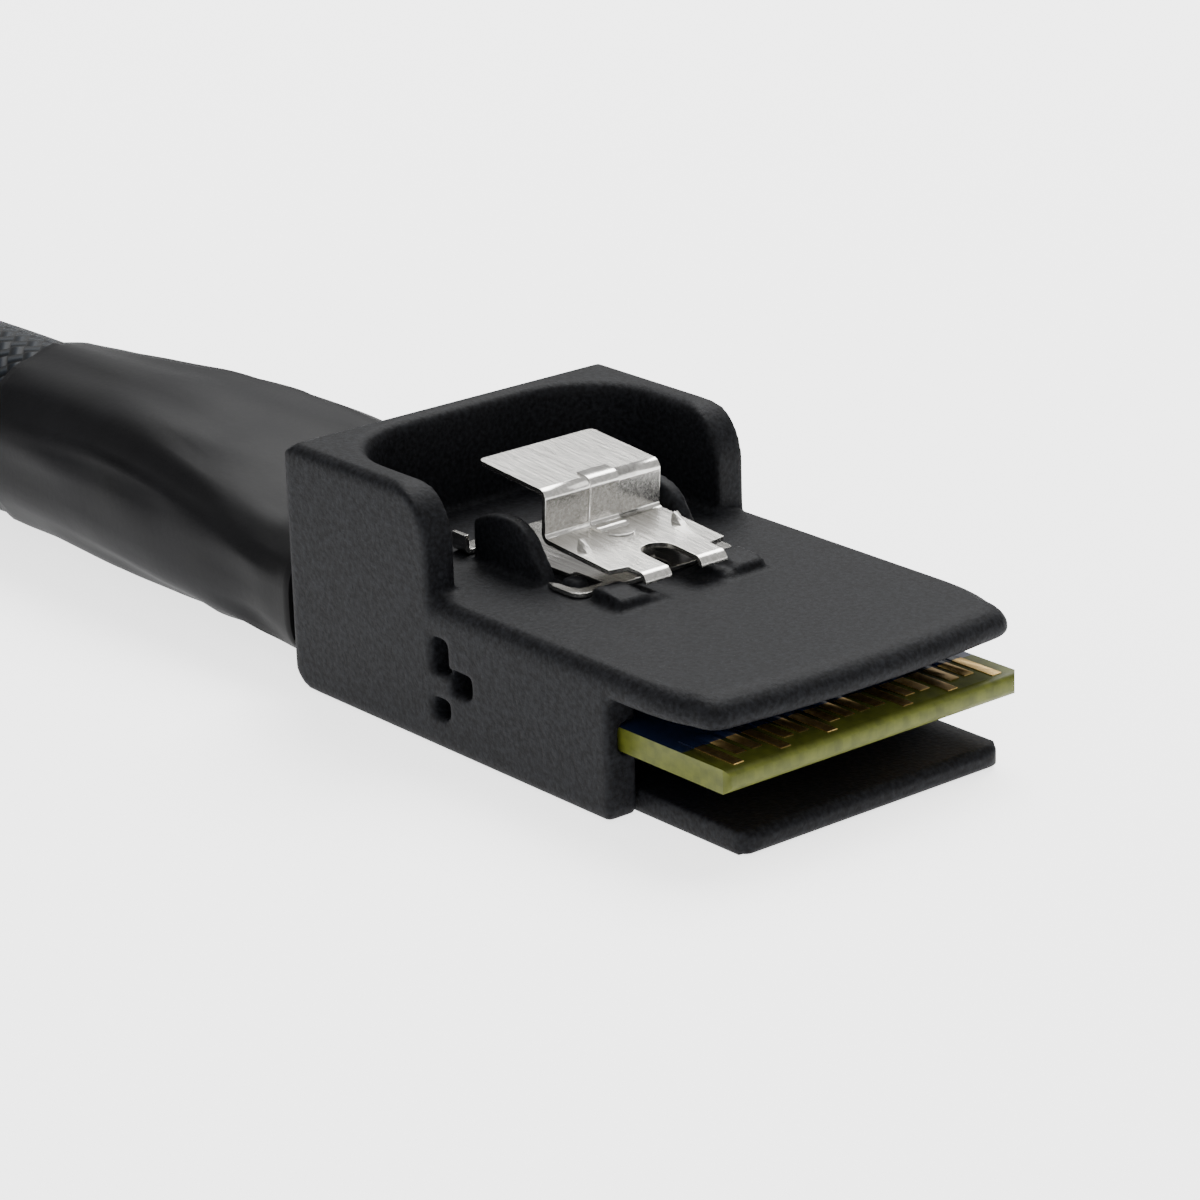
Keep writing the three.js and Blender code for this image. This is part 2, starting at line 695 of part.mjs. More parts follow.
// A tube along a smooth path. Each section is a width, a height and how square it is (2 is an oval).
function loft(curve, sections, sides) {
  const steps = sections.length - 1;
  const rings = sections.map(([w, h, square], i) => {
    const at = curve.getPoint(i / steps);
    const forward = curve.getTangent(i / steps);
    const across = new THREE.Vector3(-forward.y, forward.x, 0).normalize();
    const up = new THREE.Vector3().crossVectors(forward, across).normalize();
    return Array.from({ length: sides }, (_, k) => {
      const a = (2 * Math.PI * k) / sides;
      const [c, d] = [Math.cos(a), Math.sin(a)].map((v) => Math.sign(v) * Math.abs(v) ** (2 / square));
      return at.clone().addScaledVector(across, (c * w) / 2).addScaledVector(up, (d * h) / 2);
    });
  });
  return ringsToGeometry(rings);
}

const roundSection = [cableDiameter, cableDiameter, 2];

// The shrink sleeve is wide and square at the plug and closes to a round end on the cable
function sleeveSections(steps) {
  return Array.from({ length: steps + 1 }, (_, i) => {
    const t = THREE.MathUtils.smoothstep(i / steps, 0, 0.9);
    return [THREE.MathUtils.lerp(sleeveWidth, sleeveEnd, t),
      THREE.MathUtils.lerp(sleeveHeight, sleeveEnd - 0.4, t),
      THREE.MathUtils.lerp(sleeveSquare, 2, t)];
  });
}

const through = (points) => new THREE.CatmullRomCurve3(points.map((p) => new THREE.Vector3(...p)));

// Part of a turn of the coil, easing from one level to another
class CoilTurn extends THREE.Curve {
  constructor(from, to, low, high) {
    super();
    Object.assign(this, { from, to, low, high });
  }

  getPoint(t) {
    const level = THREE.MathUtils.lerp(this.low, this.high, THREE.MathUtils.smoothstep(t, 0, 1));
    return onCoil(this.from + (this.to - this.from) * t, level);
  }
}

function plainMesh(name, geometry, material) {
  const m = new THREE.Mesh(geometry, material);
  m.name = name;
  return m;
}

const onCoil = (angle, level) => new THREE.Vector3(
  coilCentre.x + coilRadius * Math.cos(rad(angle)),
  coilCentre.y + coilRadius * Math.sin(rad(angle)),
  level);

const laneLevel = coilLift + cableDiameter / 2;
const upperLevel = laneLevel + cableDiameter + seatGap;
const sleeveStart = rearX - 0.45;

// Shrink sleeve behind the near plug, lying on the surface
function nearSleeve() {
  const points = [
    [sleeveStart, -0.6, 3.52], [sleeveStart - 1.5, -0.6, 3.52], [-18.5, -1.1, 3.56], [-24, -2.4, 3.8],
    [-29, -3.2, 4.1], [-34, -3.6, 4.3], [-39, -3.9, 4.45], [-44.3, -4.2, 4.5],
  ];
  return loft(through(points), sleeveSections(12), 16);
}

// Free stretch on the surface, from the sleeve to where the coil begins
function nearTube() {
  const points = [
    [-44.6, -4.2, 4.5], [-50, -4.8, 4.6], [-57, -6, 4.9], [-64, -7.3, laneLevel],
    [-70.3, -8, laneLevel],
  ];
  return loft(through(points), new Array(9).fill(roundSection), 10);
}

// The first turn lies on the surface and leaves room for the tube that runs into it
function coil() {
  const r = cableDiameter / 2;
  const profile = [];
  const sides = 10;
  for (let k = 0; k <= sides; k++) {
    const a = (2 * Math.PI * (k % sides)) / sides;
    profile.push(new THREE.Vector2(coilRadius + r * Math.cos(a), r * Math.sin(a)));
  }
  const g = new THREE.LatheGeometry(profile, 48);
  g.rotateX(Math.PI / 2);
  g.translate(coilCentre.x, coilCentre.y, laneLevel);
  const room = [
    [-44, -4.2, 4.5], [-50, -4.8, 4.6], [-57, -6, 4.9], [-64, -7.3, laneLevel],
    [-70.3 - seatGap, -8, laneLevel],
  ];
  const wide = cableDiameter + 2 * seatGap + 0.3;
  return solid(g).subtract(solid(loft(through(room), new Array(9).fill([wide, wide * 1.2, 2]), 10)));
}

const farStart = 360 + farExitAngle - farSleeveAngle;
const arcGap = (seatGap / coilRadius) * (180 / Math.PI);

// The second pass lies on the first turn, up to the far sleeve
function upperTube() {
  const turn = new CoilTurn(360 + upperStart, farStart - arcGap, upperLevel, upperLevel);
  return loft(turn, new Array(23).fill(roundSection), 10);
}

function farSleeve() {
  const plugLevel = coilLift + cableDiameter + seatGap;
  const turn = new CoilTurn(farStart, 360 + farExitAngle - 2 * arcGap, upperLevel + 0.45, plugLevel + 3.5);
  return loft(turn, sleeveSections(10).reverse(), 16);
}

// Strap round both lanes of the coil
function coilTie() {
  const half = cableDiameter / 2 + seatGap;
  const high = upperLevel + half;
  const out = rounded(-half - tieThickness, 0, half + tieThickness, high + tieThickness, [1, 1, 3, 3]);
  const low = coilLift - seatGap;
  out.holes.push(rounded(-half, low, half, high, [0.6, 0.6, 2.6, 2.6]));
  const g = new THREE.ExtrudeGeometry(out, { depth: tieWidth, bevelEnabled: false, curveSegments: 4 });
  g.translate(coilRadius, 0, -tieWidth / 2);
  g.rotateX(Math.PI / 2);
  return g;
}

const cable = new THREE.Group();
cable.add(plainMesh('shrink_sleeve', nearSleeve(), mats.sleeve));
cable.add(plainMesh('cable_tube', nearTube(), mats.braid));
cable.add(meshOf('cable_coil', coil(), mats.braid));
cable.add(plainMesh('cable_upper', upperTube(), mats.braid));
cable.add(plainMesh('far_shrink_sleeve', farSleeve(), mats.sleeve));
const tie = new THREE.Group();
tie.position.set(coilCentre.x, coilCentre.y, 0);
tie.rotation.z = rad(tieAngle);
tie.add(plainMesh('coil_tie', coilTie(), mats.tie));
cable.add(tie);

// The far plug lies on the coil, in line with the turn that ends in it
const farPlug = plug('far_');
const farExit = onCoil(farExitAngle, coilLift + cableDiameter + seatGap);
const heading = rad(farExitAngle + 90);
farPlug.position.set(
  farExit.x + (plugLength / 2) * Math.cos(heading),
  farExit.y + (plugLength / 2) * Math.sin(heading),
  farExit.z);
farPlug.rotation.z = heading;

const model = new THREE.Group();
model.add(plug(''));
model.add(cable);
model.add(farPlug);

export default model;
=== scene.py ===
import math

import bmesh
import bpy
from mathutils import Matrix, Vector, noise


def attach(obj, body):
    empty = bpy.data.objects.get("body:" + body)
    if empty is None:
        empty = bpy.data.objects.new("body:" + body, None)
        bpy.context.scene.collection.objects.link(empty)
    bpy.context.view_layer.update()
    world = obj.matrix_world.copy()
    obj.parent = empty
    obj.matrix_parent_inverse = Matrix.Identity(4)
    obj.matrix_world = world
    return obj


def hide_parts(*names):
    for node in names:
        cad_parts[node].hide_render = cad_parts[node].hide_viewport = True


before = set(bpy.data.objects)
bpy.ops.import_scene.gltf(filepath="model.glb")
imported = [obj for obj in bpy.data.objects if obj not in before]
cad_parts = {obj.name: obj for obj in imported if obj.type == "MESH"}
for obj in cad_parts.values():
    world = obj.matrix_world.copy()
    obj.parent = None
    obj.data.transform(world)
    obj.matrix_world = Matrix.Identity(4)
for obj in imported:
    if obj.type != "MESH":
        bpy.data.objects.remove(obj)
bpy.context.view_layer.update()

# Camera at the photograph's place: a long lens looks down on the near plug from its front right,
# with the cable leaving at the left edge of the picture. Its place, turn and lens were solved from
# points picked in the photograph.
mm = 0.001
lens_mm = 127.23
sensor_mm = 36
camera_place = Vector((126.2, -103.91, 64.19)) * mm
camera_right = Vector((0.63421, 0.77259, -0.02976))
camera_up = Vector((-0.24429, 0.23676, 0.94035))
camera_back = camera_right.cross(camera_up)
camera_data = bpy.data.cameras.new("camera")
camera_data.sensor_width = sensor_mm
camera_data.sensor_fit = "HORIZONTAL"
camera_data.lens = lens_mm
camera_data.clip_start = 0.01
camera_data.clip_end = 10
camera = bpy.data.objects.new("camera", camera_data)
camera.matrix_world = Matrix.Translation(camera_place) @ Matrix(
    (camera_right, camera_up, camera_back)).transposed().to_4x4()
bpy.context.collection.objects.link(camera)
bpy.context.scene.camera = camera


# Cable: one braided sleeve over a bundle of foil-wrapped pairs, 8.6 mm through. It leaves the near
# plug, lies on the surface and goes nearly one and a half turns round a tied coil to the far plug.
def hex_colour(code):
    channels = [int(code[i:i + 2], 16) / 255 for i in (0, 2, 4)]
    linear = [c / 12.92 if c <= 0.04045 else ((c + 0.055) / 1.055) ** 2.4 for c in channels]
    return (*linear, 1)


def add_node(material, kind, values=None, links=None, **settings):
    node = material.node_tree.nodes.new(kind)
    for name, value in settings.items():
        setattr(node, name, value)
    for name, value in (values or {}).items():
        node.inputs[name].default_value = value
    for name, source in (links or {}).items():
        material.node_tree.links.new(source, node.inputs[name])
    return node


def new_material(name, **shader):
    material = bpy.data.materials.new(name)
    material.use_nodes = True
    surface = material.node_tree.nodes["Principled BSDF"]
    for key, value in shader.items():
        surface.inputs[key.replace("_", " ")].default_value = value
    return material, surface


def wire_up(material, surface, **sources):
    for key, source in sources.items():
        material.node_tree.links.new(source, surface.inputs[key.replace("_", " ")])


def ramp(material, source, *stops):
    # Colours at places from 0 to 1, as (place, hex) pairs
    node = add_node(material, "ShaderNodeValToRGB", links={"Fac": source})
    elements = node.color_ramp.elements
    for i, (place, code) in enumerate(stops):
        element = elements[i] if i < 2 else elements.new(place)
        element.position = place
        element.color = hex_colour(code)
    return node


def deselect():
    if bpy.context.object and bpy.context.object.mode != "OBJECT":
        bpy.ops.object.mode_set(mode="OBJECT")
    bpy.ops.object.select_all(action="DESELECT")


cable_diameter = 8.6 * mm
path_step = 1.6 * mm
gap = 0.3 * mm
coil_radius = 44 * mm
coil_lift = 0.8 * mm
coil_centre = Vector((-70.3, -52)) * mm
lane = coil_lift + cable_diameter / 2
upper_lane = lane + cable_diameter + gap
rear_x = -13.7 * mm
far_drop = 0.8 * mm

# Degrees round the coil, from +X: where the cable joins it and leaves it, and where the second pass
# climbs onto the first and dips before the far plug
coil_entry_angle = 90
far_exit_angle = 241
last_angle = 360 + far_exit_angle
route_turn = 8
climb_from, climb_over = 325, 95
drop_over = 40
drop_from = last_angle - drop_over

# Places along the cable's middle line from the plug to the coil, in mm, read from the photograph as
# far as it shows the cable
near_stretch = [
    (-13.7, 0, 3.5), (-15.5, 0, 3.5), (-19.5, -0.6, 3.5), (-24, -1.7, 3.7), (-29, -2.6, 3.95),
    (-34, -3.3, 4.2), (-39, -3.8, 4.35), (-44.6, -4.2, 4.45), (-50, -4.8, 4.6), (-57, -6, 4.9),
    (-64, -7.3, 5.05),
]


def on_coil(angle, level):
    turn = math.radians(angle)
    return Vector((coil_centre.x + coil_radius * math.cos(turn),
                   coil_centre.y + coil_radius * math.sin(turn), level))


def ease(t):
    t = min(max(t, 0), 1)
    return t * t * (3 - 2 * t)


def between(a, b, t):
    return a + (b - a) * t


route = [Vector(p) * mm for p in near_stretch]
for angle in range(coil_entry_angle, last_angle, route_turn):
    climb = ease((angle - climb_from) / climb_over)
    drop = ease((angle - drop_from) / drop_over)
    route.append(on_coil(angle, lane + (upper_lane - lane) * climb - far_drop * drop))
route.append(on_coil(last_angle, upper_lane - far_drop))


def smooth_path(points, step):
    # Catmull-Rom through the route, then points at even steps along it
    fineness = 12
    dense = []
    for i in range(len(points) - 1):
        a = points[max(i - 1, 0)]
        b, c = points[i], points[i + 1]
        d = points[min(i + 2, len(points) - 1)]
        for k in range(fineness):
            t = k / fineness
            dense.append(0.5 * ((2 * b) + (c - a) * t + (2 * a - 5 * b + 4 * c - d) * t * t
                                + (3 * b - a - 3 * c + d) * t ** 3))
    dense.append(points[-1])
    total = sum((q - p).length for p, q in zip(dense, dense[1:]))
    count = max(round(total / step), 2)
    even, reach, at = [dense[0]], 0.0, 1
    for i in range(1, count):
        goal = total * i / count
        while reach + (dense[at] - dense[at - 1]).length < goal:
            reach += (dense[at] - dense[at - 1]).length
            at += 1
        part = (goal - reach) / (dense[at] - dense[at - 1]).length
        even.append(dense[at - 1].lerp(dense[at], part))
    even.append(dense[-1])
    return even


def loft(name, path, section, sides):
    # section(run, angle) gives the distances across, up and ahead from the path's point
    mesh = bmesh.new()
    uv = mesh.loops.layers.uv.new("along")
    runs = [0.0]
    for p, q in zip(path, path[1:]):
        runs.append(runs[-1] + (q - p).length)
    rings = []
    for i, at in enumerate(path):
        ahead = (path[min(i + 1, len(path) - 1)] - path[max(i - 1, 0)]).normalized()
        across = Vector((-ahead.y, ahead.x, 0)).normalized()
        rise = ahead.cross(across)
        ring = []
        for k in range(sides):
            w, h, reach = section(runs[i], 2 * math.pi * k / sides)
            ring.append(mesh.verts.new(at + across * w + rise * h + ahead * reach))
        rings.append(ring)
    for i in range(len(rings) - 1):
        for k in range(sides):
            n = (k + 1) % sides
            face = mesh.faces.new((rings[i][k], rings[i][n], rings[i + 1][n], rings[i + 1][k]))
            face.smooth = True
            corners = ((runs[i], k), (runs[i], k + 1), (runs[i + 1], k + 1), (runs[i + 1], k))
            for loop, (v, u) in zip(face.loops, corners):
                loop[uv].uv = (u / sides, v)
    mesh.faces.new(rings[0])
    mesh.faces.new(reversed(rings[-1]))
    bmesh.ops.recalc_face_normals(mesh, faces=mesh.faces)
    data = bpy.data.meshes.new(name)
    mesh.to_mesh(data)
    mesh.free()
    piece = bpy.data.objects.new(name, data)
    bpy.context.collection.objects.link(piece)
    return piece


cable_path = smooth_path(route, path_step)
cable_run = path_step * (len(cable_path) - 1)
fan_length = 30 * mm
flattened = 0.66
cable_sides = 32


def cable_section(run, angle):
    # The bundle flattens where it fans out to the card's width inside the shrink sleeves
    near = ease(run / fan_length)
    far = ease((cable_run - run) / fan_length)
    height = flattened + (1 - flattened) * min(near, far)
    half = cable_diameter / 2
    return half * math.cos(angle), half * height * math.sin(angle), 0


cable = loft("braided_cable", cable_path, cable_section, cable_sides)

# Expandable sleeving of black and blue-grey polyester, braided from flat yarns. The eye sees a fine
# diamond weave with a soft satin glint on each yarn. The real filaments are too fine to show, so
# each yarn drawn here stands for a group of them, about 1 mm wide. The colour follows the weave's
# relief: painted shade, black, where the yarns meet, and a painted glint, blue-grey, on each crown.
yarns_round = 26
yarn_width = math.pi * cable_diameter / yarns_round
band_per_unit = math.pi / 10
braid, braid_surface = new_material("polyester_braid", Roughness=0.6, Specular_IOR_Level=0.15)
cloth = add_node(braid, "ShaderNodeTexCoord")
diagonal = add_node(braid, "ShaderNodeMapping",
                    {"Scale": (yarns_round * math.sqrt(2), math.sqrt(2) / yarn_width, 1),
                     "Rotation": (0, 0, math.pi / 4)},
                    {"Vector": cloth.outputs["UV"]})
over = add_node(braid, "ShaderNodeTexChecker",
                {"Scale": 1, "Color1": (1, 1, 1, 1), "Color2": (0, 0, 0, 1)},
                {"Vector": diagonal.outputs["Vector"]})
left_lay = add_node(braid, "ShaderNodeTexWave",
                    {"Scale": band_per_unit, "Distortion": 0.2},
                    {"Vector": diagonal.outputs["Vector"]}, bands_direction="X")
right_lay = add_node(braid, "ShaderNodeTexWave",
                     {"Scale": band_per_unit, "Distortion": 0.2},
                     {"Vector": diagonal.outputs["Vector"]}, bands_direction="Y")
weave = add_node(braid, "ShaderNodeMix",
                 links={"Factor": over.outputs["Fac"], "A": left_lay.outputs["Fac"],
                        "B": right_lay.outputs["Fac"]})
# Colour from black to blue-grey across each yarn: painted shade where the yarns meet, painted glint
# on the crowns
yarn_tint_shade_and_glint = ramp(braid, weave.outputs["Result"], (0, "030405"), (1, "131920"))
yarn_relief = add_node(braid, "ShaderNodeBump", {"Strength": 0.8, "Distance": 0.12 * mm},
                       {"Height": weave.outputs["Result"]})
wire_up(braid, braid_surface, Base_Color=yarn_tint_shade_and_glint.outputs["Color"],
        Normal=yarn_relief.outputs["Normal"])
cable.data.materials.append(braid)
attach(cable, "plugs_and_cable")
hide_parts("cable_tube", "cable_coil", "cable_upper")


# Shrink sleeves: thick black polyolefin tube, shrunk over the cable's end and the moulded block. It
# is nearly as wide as the plug where it leaves it, lies in soft folds and is cut off square.
sleeve_width = 15.4 * mm
sleeve_height = 6.3 * mm
sleeve_end = 9.3 * mm
sleeve_square = 3.4
sleeve_step = 0.5 * mm
sleeve_length = 25 * mm
sleeve_taper = 29 * mm
sleeve_sides = 72

# Folds: spans along the sleeve, counts round it and their share in the relief. They press in behind
# the plug and calm down towards the cable.
fold_depth = 0.5 * mm
fold_span, fold_count, fold_share = 16 * mm, 2.1, 2.2
lump_span, lump_count, lump_share = 4 * mm, 3.2, 0.35
press_length, press_fade = 5 * mm, 0.6
width_press, height_press = 0.9, 0.7
swell_from, swell_over, end_sag = 3 * mm, 14 * mm, 0.4 * mm

# The near sleeve's middle line, in mm, and the far one's: degrees round the coil, and levels in mm
near_sleeve_route = [
    (-13.74, -0.6, 3.3), (-15.6, -0.6, 3.3), (-18.5, -0.85, 3.45), (-24, -1.75, 4.05),
    (-29, -2.6, 4.45), (-34, -3.3, 4.5), (-38.7, -3.8, 4.5),
]
far_sleeve_from, far_sleeve_to, far_sleeve_turn = 600, 566, 3
far_sleeve_shift, far_sleeve_rise_over = 0.7, 39
far_plug_level, far_cable_level = 13.2, 14.45
far_sleeve_route = []
for angle in range(far_sleeve_from, far_sleeve_to, -far_sleeve_turn):
    t = (far_sleeve_from - angle) / far_sleeve_rise_over
    level = between(far_plug_level, far_cable_level, ease(t)) * mm
    far_sleeve_route.append(on_coil(angle + far_sleeve_shift, level))


def make_sleeve(name, path):
    def section(run, angle):
        t = ease(run / sleeve_taper)
        power = 2 / between(sleeve_square, 2, t)
        c, s = math.cos(angle), math.sin(angle)
        across = math.copysign(abs(c) ** power, c)
        rise = math.copysign(abs(s) ** power, s)
        # Long folds that follow the sleeve, with a little lumpiness from the wires beneath
        spot = Vector((run / fold_span, fold_count * c, fold_count * s))
        lumps = Vector((run / lump_span, lump_count * c, lump_count * s))
        fold = 1 - fold_share * abs(noise.noise(spot)) + lump_share * noise.noise(lumps)
        press = ease(run / press_length) * (1 - press_fade * ease(run / sleeve_length))
        shrink = fold_depth * press * (fold - 1) * width_press
        half_w = between(sleeve_width, sleeve_end, t) / 2 + shrink
        swell = ease((run - swell_from) / swell_over)
        half_h = between(sleeve_height, sleeve_end - end_sag, swell) / 2 + shrink * height_press
        return half_w * across, half_h * rise, 0

    piece = loft(name, path, section, sleeve_sides)
    piece.data.materials.append(tube)
    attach(piece, "plugs_and_cable")
    return piece


# Heat-shrink tubing, recovered with hot air. It sets to a dull skin with a faint, uneven gloss and
# fine grain, drawn coarser than real so that it shows; the folds catch a soft light.
tube, tube_surface = new_material("polyolefin_heat_shrink", Roughness=0.5, Specular_IOR_Level=0.1)
place = add_node(tube, "ShaderNodeTexCoord")
patches = add_node(tube, "ShaderNodeTexNoise", {"Scale": 1 / (5 * mm), "Detail": 4},
                   {"Vector": place.outputs["Object"]})
tube_tint = ramp(tube, patches.outputs["Fac"], (0.3, "0a0a0b"), (0.7, "131315"))
skin_gloss = add_node(tube, "ShaderNodeMapRange", {"To Min": 0.5, "To Max": 0.66},
                      {"Value": patches.outputs["Fac"]})
skin = add_node(tube, "ShaderNodeTexNoise", {"Scale": 1 / (0.35 * mm), "Detail": 3},
                {"Vector": place.outputs["Object"]})
skin_relief = add_node(tube, "ShaderNodeBump", {"Strength": 0.25, "Distance": 0.03 * mm},
                       {"Height": skin.outputs["Fac"]})
wire_up(tube, tube_surface, Base_Color=tube_tint.outputs["Color"],
        Roughness=skin_gloss.outputs["Result"], Normal=skin_relief.outputs["Normal"])

near_sleeve = make_sleeve("near_sleeve", smooth_path([Vector(p) * mm for p in near_sleeve_route],
                                                     sleeve_step))
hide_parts("shrink_sleeve")
far_sleeve = make_sleeve("far_sleeve", smooth_path(far_sleeve_route, sleeve_step))
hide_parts("far_shrink_sleeve")


# Coil tie: a strap of hook-and-loop tape round both lanes of the coil, black nylon loop outside.
# The loop pile gives a dull, fuzzy surface.
strap, strap_surface = new_material("nylon_loop_tape", Roughness=0.95, Specular_IOR_Level=0.1)
place = add_node(strap, "ShaderNodeTexCoord")
pile = add_node(strap, "ShaderNodeTexVoronoi", {"Scale": 1 / (0.4 * mm), "Randomness": 1},
                {"Vector": place.outputs["Object"]})
pile_tint = ramp(strap, pile.outputs["Distance"], (0, "161618"), (0.8, "060607"))
pile_relief = add_node(strap, "ShaderNodeBump", {"Strength": 0.6, "Distance": 0.1 * mm},
                       {"Height": pile.outputs["Distance"]})
wire_up(strap, strap_surface, Base_Color=pile_tint.outputs["Color"],
        Normal=pile_relief.outputs["Normal"])


def finish_node(node, material):
    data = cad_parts[node].data
    data.materials.clear()
    data.materials.append(material)


finish_node("coil_tie", strap)


# Housings: an upper and a lower shell a plug, injection moulded in black glass-filled polyester.
# The tool is spark-eroded, so every face has a fine grain, drawn at 0.2 mm, which is coarser than
# real, so that it shows. The edges are soft.
grain_size = 0.2 * mm
mould_voxel = 0.165 * mm
edge_passes = 2
join_distance = 0.002 * mm
flat_within = math.radians(0.5)
crease_angle = math.radians(38)
collar_top = 10.9 * mm
rim_trim = 0.75 * mm
far_turn = Matrix.Rotation(math.radians(far_exit_angle + 90), 4, "Z")
far_seat = on_coil(far_exit_angle, coil_lift + cable_diameter + gap)
seats = {"": Matrix.Identity(4),
         "far_": Matrix.Translation(far_seat) @ far_turn @ Matrix.Translation((-rear_x, 0, 0))}


def dressed(node, name, body, slot_name, *finishes, voxel=0, trims=()):
    # A copy of the solid with its loose triangles joined. A voxel size rounds every edge, as the
    # mould does; without one, flat faces are made whole and curved ones smooth.
    piece = bpy.data.objects.new(name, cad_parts[node].data.copy())
    bpy.context.collection.objects.link(piece)
    deselect()
    piece.select_set(True)
    bpy.context.view_layer.objects.active = piece
    bpy.ops.object.mode_set(mode="EDIT")
    bpy.ops.mesh.select_all(action="SELECT")
    bpy.ops.mesh.remove_doubles(threshold=join_distance)
    for at, normal in trims:
        bpy.ops.mesh.select_all(action="SELECT")
        bpy.ops.mesh.bisect(plane_co=at, plane_no=normal, use_fill=True, clear_outer=True)
    if not voxel:
        bpy.ops.mesh.dissolve_limited(angle_limit=flat_within)
    bpy.ops.object.mode_set(mode="OBJECT")
    if voxel:
        grid = piece.modifiers.new("grid", "REMESH")
        grid.mode = "VOXEL"
        grid.voxel_size = voxel
        bpy.ops.object.modifier_apply(modifier=grid.name)
        ease_edges = piece.modifiers.new("ease_edges", "SMOOTH")
        ease_edges.factor = 0.5
        ease_edges.iterations = edge_passes
        bpy.ops.object.modifier_apply(modifier=ease_edges.name)
        bpy.ops.object.shade_smooth()
    else:
        bpy.ops.object.shade_smooth_by_angle(angle=crease_angle)
        weights = piece.modifiers.new("weights", "WEIGHTED_NORMAL")
        weights.keep_sharp = True
        bpy.ops.object.modifier_apply(modifier=weights.name)
    piece.data.materials.clear()
    for finish in finishes:
        piece.data.materials.append(finish)
    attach(piece, body)
    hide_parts(node)
    return piece


# Black polyester with a spark-eroded grain: a matt dark grey. Its colour and specular level lie
# below the real plastic's, because the render's view transform brings dark surfaces out lighter.
# The sleeves, the braid and the card are matched in the same way.
plastic, plastic_surface = new_material("pbt_spark_grain", Roughness=0.6, Specular_IOR_Level=0.09)
place = add_node(plastic, "ShaderNodeTexCoord")
grain = add_node(plastic, "ShaderNodeTexNoise", {"Scale": 1 / grain_size, "Detail": 3},
                 {"Vector": place.outputs["Object"]})
plastic_tint = ramp(plastic, grain.outputs["Fac"], (0.35, "08080a"), (0.7, "191a1d"))
grain_relief = add_node(plastic, "ShaderNodeBump", {"Strength": 0.9, "Distance": 0.03 * mm},
                        {"Height": grain.outputs["Fac"]})
wire_up(plastic, plastic_surface, Base_Color=plastic_tint.outputs["Color"],
        Normal=grain_relief.outputs["Normal"])

fixed = "plugs_and_cable"
for prefix, seat in seats.items():
    # The collar's rear rim is rounder than its sides
    rim_at = seat @ Vector((rear_x + rim_trim, 0, collar_top))
    rim_normal = seat.to_3x3() @ Vector((-1, 0, 1)).normalized()
    dressed(prefix + "upper_shell", prefix + "upper_housing", fixed, "shell", plastic,
            voxel=mould_voxel, trims=[(rim_at, rim_normal)])
    dressed(prefix + "lower_shell", prefix + "lower_housing", fixed, "shell", plastic,
            voxel=mould_voxel)


# Latch: lever and leaf pressed from hard-rolled stainless strip, 0.2 mm thick. Rolling leaves fine
# lines along the strip, drawn wider than real so that they show, and the bends mirror the dark
# housing and the bright room.
strip_edge = 0.05 * mm
line_length, line_width = 6 * mm, 0.12 * mm
steel, steel_surface = new_material("stainless_spring_strip", Metallic=1, Roughness=0.2)
place = add_node(steel, "ShaderNodeTexCoord")
drawn = add_node(steel, "ShaderNodeMapping",
                 {"Scale": (1 / line_length, 1 / line_width, 1 / line_width)},
                 {"Vector": place.outputs["Object"]})
rolling = add_node(steel, "ShaderNodeTexNoise", {"Scale": 1, "Detail": 3},
                   {"Vector": drawn.outputs["Vector"]})
steel_tint = ramp(steel, rolling.outputs["Fac"], (0.3, "c6c4bf"), (0.7, "dedcd7"))
steel_gloss = add_node(steel, "ShaderNodeMapRange", {"To Min": 0.16, "To Max": 0.3},
                       {"Value": rolling.outputs["Fac"]})
burr = add_node(steel, "ShaderNodeBevel", {"Radius": strip_edge}, samples=6)
rolled_relief = add_node(steel, "ShaderNodeBump", {"Strength": 0.1, "Distance": 0.004 * mm},
                         {"Height": rolling.outputs["Fac"], "Normal": burr.outputs["Normal"]})
wire_up(steel, steel_surface, Base_Color=steel_tint.outputs["Color"],
        Roughness=steel_gloss.outputs["Result"], Normal=rolled_relief.outputs["Normal"])
for prefix in seats:
    dressed(prefix + "latch_lever", prefix + "pressed_lever", prefix + "latch", "steel", steel)
    dressed(prefix + "latch_leaf", prefix + "hooked_leaf", fixed, "steel", steel)


# Paddle cards: 1 mm glass-epoxy board, routed and bevelled, 18 gold-plated pads a face. Solder mask
# covers the board and the pads' rear ends behind the contact area.
card_low, card_top = 2.85 * mm, 3.85 * mm
mask_front = 11.05 * mm
pad_clear = 0.01 * mm
broad_face = 0.9
bare, plated, masked = 0, 1, 2

# Bare glass-epoxy laminate: olive yellow, slightly clear, with the glass cloth showing faintly
laminate, laminate_surface = new_material("fr4_laminate", Roughness=0.5, Specular_IOR_Level=0.2)
place = add_node(laminate, "ShaderNodeTexCoord")
glass_cloth = add_node(laminate, "ShaderNodeTexChecker",
                       {"Scale": 1 / (0.45 * mm), "Color1": hex_colour("474b14"),
                        "Color2": hex_colour("3e4211")}, {"Vector": place.outputs["Object"]})
resin = add_node(laminate, "ShaderNodeTexNoise", {"Scale": 1 / (0.6 * mm), "Detail": 5},
                 {"Vector": place.outputs["Object"]})
resin_tint = ramp(laminate, resin.outputs["Fac"], (0.3, "373b0e"), (0.7, "5a5f20"))
laminate_tint = add_node(laminate, "ShaderNodeMix", {"Factor": 0.5},
                         {"A": glass_cloth.outputs["Color"], "B": resin_tint.outputs["Color"]},
                         data_type="RGBA")
wire_up(laminate, laminate_surface, Base_Color=laminate_tint.outputs["Result"])

